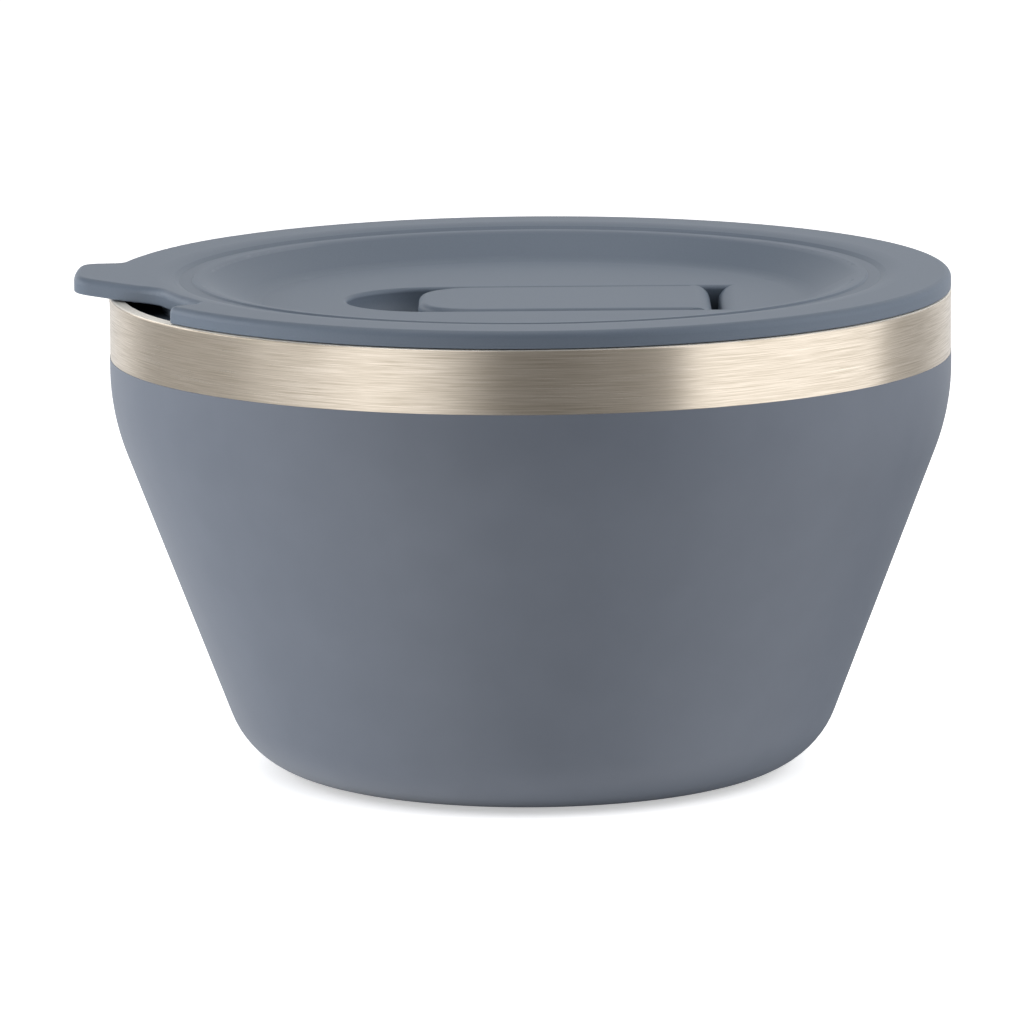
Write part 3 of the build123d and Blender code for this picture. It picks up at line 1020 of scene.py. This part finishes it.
@dataclass
class Studio:
    """White floor with a painted contact shadow and a glow that stands in for bounce light, white
    surround, soft boxes, and the boxes and cards that metal mirrors.

    Radii and lengths are in metres, and height_edge is in degrees.
    """

    ambient: float = 0.16
    floor_size: float = 6.0
    floor_white: float = 0.85
    floor_paper: float = 0.9
    paper_roughness: float = 0.9
    # Towards the bowl the paper reflects nothing and glows instead, as painted bounce light: none at the
    # foot, which paints shade under the bowl, and more on the left than on the right.
    painted_bounce_glow: float = 1.0
    painted_shade_glow: float = 0.0
    painted_shade_glow_end: float = 0.053
    painted_glow_left: float = 1.4
    painted_glow_right: float = 0.5
    painted_glow_reach: float = 0.1
    # The paper's glow, as the camera sees it, is lower near the bowl's foot: a painted contact shadow.
    painted_shadow_glow: float = 0.45
    painted_shade_radius: float = 0.043
    painted_shadow_end: float = 0.057
    aim_height: float = 0.05
    boxes: tuple[SoftBox, ...] = (
        SoftBox("left_box", (-0.8, 0.02, 0.22), (0.7, 0.7), 6.5),
        SoftBox("right_box", (0.8, -0.12, 0.42), (0.7, 0.7), 5.8),
        SoftBox("top_box", (0.0, 0.1, 1.1), (1.0, 1.0), 2.5),
    )
    backdrop_level: float = 0.95
    height_edge: float = 4.0
    # A later card covers an earlier one where they overlap.
    reflectors: tuple[Reflector, ...] = (
        # At the left, a grey card, and on it a bright, a dark and a bright strip above one another.
        Reflector(-108.0, 28.0, 12.0, 0.4),
        Reflector(-108.0, 36.0, 8.0, 2.4, 19.0, 9.0),
        Reflector(-120.0, 50.0, 10.0, 0.03, 43.0, 14.0),
        Reflector(-108.0, 50.0, 12.0, 3.5, 72.0, 12.0),
        # In front, a bright box and two dark cards.
        Reflector(-45.0, 14.5, 12.0, 1.42),
        Reflector(11.0, 28.0, 10.0, 0.27),
        Reflector(36.0, 20.0, 8.0, 0.33),
        # At the right, a pale card and a bright box.
        Reflector(119.0, 20.0, 18.0, 0.64),
        Reflector(77.0, 34.0, 4.0, 1.54),
        # Low at the back, dark cards on both sides of straight behind.
        Reflector(180.0, 50.0, 10.0, 0.05, -52.0, 38.0),
        Reflector(-180.0, 9.0, 8.0, 0.05, -52.0, 38.0),
    )

    def build(self) -> None:
        """Make the surround, the floor and the lamps."""
        self.surround()
        self.floor()
        for box in self.boxes:
            self.hang(box)

    @staticmethod
    def seen_directly(tree: bpy.types.NodeTree) -> bpy.types.NodeSocket:
        """One for rays from the camera or through glass, and nought for all others.

        Args:
            tree: The node tree that asks.

        Returns:
            The socket with the answer.
        """
        path = add_node(tree, "ShaderNodeLightPath", {})
        either = add_node(
            tree,
            "ShaderNodeMath",
            {0: path.outputs["Is Camera Ray"], 1: path.outputs["Is Transmission Ray"]},
            operation="MAXIMUM",
        )
        return either.outputs["Value"]

    def mirrored(self, tree: bpy.types.NodeTree) -> bpy.types.NodeSocket:
        """How bright the surround is in a mirror, by its bearing and height.

        Args:
            tree: The world's node tree.

        Returns:
            The socket with the brightness.
        """
        place = add_node(tree, "ShaderNodeTexCoord", {}).outputs["Generated"]
        split = add_node(tree, "ShaderNodeSeparateXYZ", {"Vector": place})
        ahead = add_node(tree, "ShaderNodeMath", {0: split.outputs["Y"], 1: -1.0}, operation="MULTIPLY")
        turn = add_node(
            tree,
            "ShaderNodeMath",
            {0: split.outputs["X"], 1: ahead.outputs["Value"]},
            operation="ARCTAN2",
        )
        bearing = add_node(tree, "ShaderNodeMath", {0: turn.outputs["Value"]}, operation="DEGREES")
        rise = add_node(tree, "ShaderNodeMath", {0: split.outputs["Z"]}, operation="ARCSINE")
        height = add_node(tree, "ShaderNodeMath", {0: rise.outputs["Value"]}, operation="DEGREES")
        level = add_node(tree, "ShaderNodeValue", {}).outputs["Value"]
        level.default_value = self.backdrop_level
        for card in self.reflectors:
            beside = self.within(
                tree, bearing.outputs["Value"], card.bearing, card.half_width, card.soft_edge
            )
            level_with = self.within(
                tree, height.outputs["Value"], card.middle_height, card.half_height, self.height_edge
            )
            cover = add_node(tree, "ShaderNodeMath", {0: beside, 1: level_with}, operation="MULTIPLY")
            level = add_node(
                tree,
                "ShaderNodeMapRange",
                {"Value": cover.outputs["Value"], "To Min": level, "To Max": card.level},
            ).outputs["Result"]
        return level

    @staticmethod
    def within(
        tree: bpy.types.NodeTree, angle: bpy.types.NodeSocket, middle: float, half: float, edge: float
    ) -> bpy.types.NodeSocket:
        """One where an angle lies within a span, falling softly to nought at its ends.

        Args:
            tree: The world's node tree.
            angle: The angle, in degrees.
            middle: The span's middle.
            half: Half the span.
            edge: Half the width of the soft fall at each end.

        Returns:
            The socket with the answer.
        """
        apart = add_node(tree, "ShaderNodeMath", {0: angle, 1: middle}, operation="SUBTRACT")
        off = add_node(tree, "ShaderNodeMath", {0: apart.outputs["Value"]}, operation="ABSOLUTE")
        inside = add_node(
            tree,
            "ShaderNodeMapRange",
            {
                "Value": off.outputs["Value"],
                "From Min": half - edge,
                "From Max": half + edge,
                "To Min": 1.0,
                "To Max": 0.0,
            },
            interpolation_type="SMOOTHSTEP",
        )
        return inside.outputs["Result"]

    def surround(self) -> None:
        """A white world to the camera, a dim one as light, and boxes and cards in mirrors."""
        world = bpy.data.worlds.new("white_surround")
        bpy.context.scene.world = world
        world.use_nodes = True
        tree = world.node_tree
        tree.nodes.clear()
        path = add_node(tree, "ShaderNodeLightPath", {})
        unseen = add_node(
            tree,
            "ShaderNodeMapRange",
            {
                "Value": path.outputs["Is Glossy Ray"],
                "To Min": self.ambient,
                "To Max": self.mirrored(tree),
            },
        )
        level = add_node(
            tree,
            "ShaderNodeMapRange",
            {"Value": self.seen_directly(tree), "To Min": unseen.outputs["Result"], "To Max": 1.0},
        )
        white = add_node(
            tree, "ShaderNodeBackground", {"Color": WHITE, "Strength": level.outputs["Result"]}
        )
        add_node(tree, "ShaderNodeOutputWorld", {"Surface": white.outputs["Background"]})

    def paper(self) -> bpy.types.Material:
        """White paper that shows the camera a painted contact shadow, and glows towards the bowl as
        painted bounce light.

        Returns:
            The paper as a node material.
        """
        paper = bpy.data.materials.new("white_paper")
        paper.use_nodes = True
        tree = paper.node_tree
        surface = tree.nodes["Principled BSDF"]
        surface.inputs["Roughness"].default_value = self.paper_roughness
        surface.inputs["Specular IOR Level"].default_value = 0.0
        surface.inputs["Emission Color"].default_value = WHITE
        place = add_node(tree, "ShaderNodeTexCoord", {}).outputs["Object"]
        away = add_node(tree, "ShaderNodeVectorMath", {0: place}, operation="LENGTH")
        # Painted contact shadow: the glow the camera sees falls towards the bowl's foot.
        painted_shadow = add_node(
            tree,
            "ShaderNodeMapRange",
            {
                "Value": away.outputs["Value"],
                "From Min": self.painted_shade_radius,
                "From Max": self.painted_shadow_end,
                "To Min": self.painted_shadow_glow,
                "To Max": self.floor_white,
            },
            interpolation_type="SMOOTHSTEP",
        )
        # Painted bounce light: the paper's glow towards the bowl, with nothing at the foot as painted
        # shade.
        painted_bounce = add_node(
            tree,
            "ShaderNodeMapRange",
            {
                "Value": away.outputs["Value"],
                "From Min": self.painted_shade_radius,
                "From Max": self.painted_shade_glow_end,
                "To Min": self.painted_shade_glow,
                "To Max": self.painted_bounce_glow,
            },
            interpolation_type="SMOOTHSTEP",
        )
        # Painted light: the glow is stronger on the left than on the right.
        split = add_node(tree, "ShaderNodeSeparateXYZ", {"Vector": place})
        side = add_node(
            tree,
            "ShaderNodeMapRange",
            {
                "Value": split.outputs["X"],
                "From Min": -self.painted_glow_reach,
                "From Max": self.painted_glow_reach,
                "To Min": self.painted_glow_left,
                "To Max": self.painted_glow_right,
            },
        )
        sided_painted_bounce = add_node(
            tree,
            "ShaderNodeMath",
            {0: painted_bounce.outputs["Result"], 1: side.outputs["Result"]},
            operation="MULTIPLY",
        )
        seen = self.seen_directly(tree)
        paper_white = add_node(
            tree, "ShaderNodeMath", {0: seen, 1: self.floor_paper}, operation="MULTIPLY"
        )
        glow = add_node(
            tree,
            "ShaderNodeMapRange",
            {"Value": seen, "To Min": sided_painted_bounce.outputs["Value"], "To Max": painted_shadow.outputs["Result"]},
        )
        tree.links.new(paper_white.outputs["Value"], surface.inputs["Base Color"])
        tree.links.new(glow.outputs["Result"], surface.inputs["Emission Strength"])
        return paper

    def floor(self) -> None:
        """Lay a white floor whose contact shadow round the bowl's foot is painted into its glow."""
        select_nothing()
        bpy.ops.mesh.primitive_plane_add(size=self.floor_size, location=(0.0, 0.0, 0.0))
        floor = bpy.context.object
        floor.name = "floor"
        floor.visible_glossy = False
        floor.data.materials.append(self.paper())

    def hang(self, box: SoftBox) -> None:
        """Hang a lamp and turn it towards the bowl.

        Args:
            box: The lamp's name, place, size and power.
        """
        data = bpy.data.lights.new(box.name, "AREA")
        data.shape = "RECTANGLE"
        data.size, data.size_y = box.size
        data.energy = box.power
        lamp = bpy.data.objects.new(box.name, data)
        bpy.context.scene.collection.objects.link(lamp)
        lamp.location = box.place
        aim = Vector((0.0, 0.0, self.aim_height)) - Vector(box.place)
        lamp.rotation_euler = aim.to_track_quat("-Z", "Y").to_euler()
        lamp.visible_camera = False
        lamp.visible_glossy = False


def main() -> None:
    """Build the studio, the bowl and the lid."""
    logging.basicConfig(level=logging.INFO, format="%(message)s")
    bpy.context.scene.view_settings.view_transform = "Standard"
    PhotoCamera().build()
    Studio().build()
    for piece in Bowl().build():
        LOG.info("%s: %d faces", piece.name, len(piece.data.polygons))
    Lid().build()


if __name__ == "__main__":
    main()
